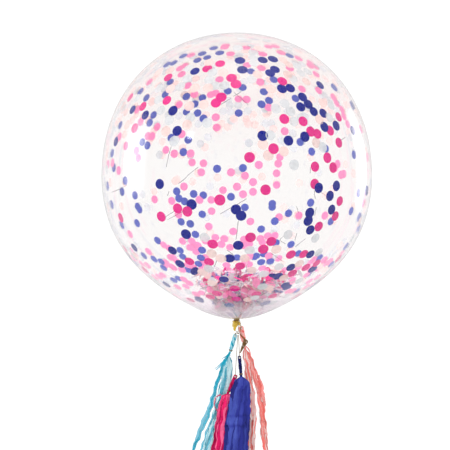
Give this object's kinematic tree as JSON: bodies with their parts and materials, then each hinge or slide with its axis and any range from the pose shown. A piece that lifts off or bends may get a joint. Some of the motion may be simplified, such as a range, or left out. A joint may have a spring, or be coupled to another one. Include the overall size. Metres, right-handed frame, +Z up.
{
  "type": "clear bubble balloon",
  "caption": "Large clear latex balloon holding tissue confetti, tied at the neck, with fringed tissue tassels hanging from it on gold thread.",
  "frame": {"origin": "on the neck's axis, at the middle of the thread wound round the neck, where the balloon is held", "axes": "+Z up along the neck's axis towards the crown, -Y towards the viewer in front, +X to the right"},
  "size_m": [0.8, 0.8, 1.4015],
  "materials": {
    "clear_latex": "clear, glossy stretched latex, amber where it is unstretched at the knot",
    "gold_thread": "twisted metallic gold thread",
    "tissue_aqua": "matt tissue paper",
    "tissue_magenta": "matt tissue paper",
    "tissue_navy": "matt tissue paper",
    "tissue_coral": "matt tissue paper",
    "confetti_pink": "matt tissue discs",
    "confetti_navy": "matt tissue discs",
    "confetti_blush": "matt tissue discs",
    "confetti_silver": "pale tissue discs",
    "film_shreds": "clear film strips"
  },
  "bodies": {
    "root": {"balloon": "clear_latex", "neck_winding": "gold_thread", "gathering_knot": "gold_thread", "sling_left": "gold_thread", "sling_right": "gold_thread", "thread_navy": "gold_thread", "thread_magenta": "gold_thread", "thread_aqua": "gold_thread", "thread_coral": "gold_thread", "lashing": "gold_thread", "tassel_aqua": "tissue_aqua", "tie_aqua": "gold_thread", "tassel_magenta": "tissue_magenta", "tie_magenta": "gold_thread", "tassel_navy": "tissue_navy", "tie_navy": "gold_thread", "tassel_coral": "tissue_coral", "tie_coral": "gold_thread"}
  },
  "joints": []
}
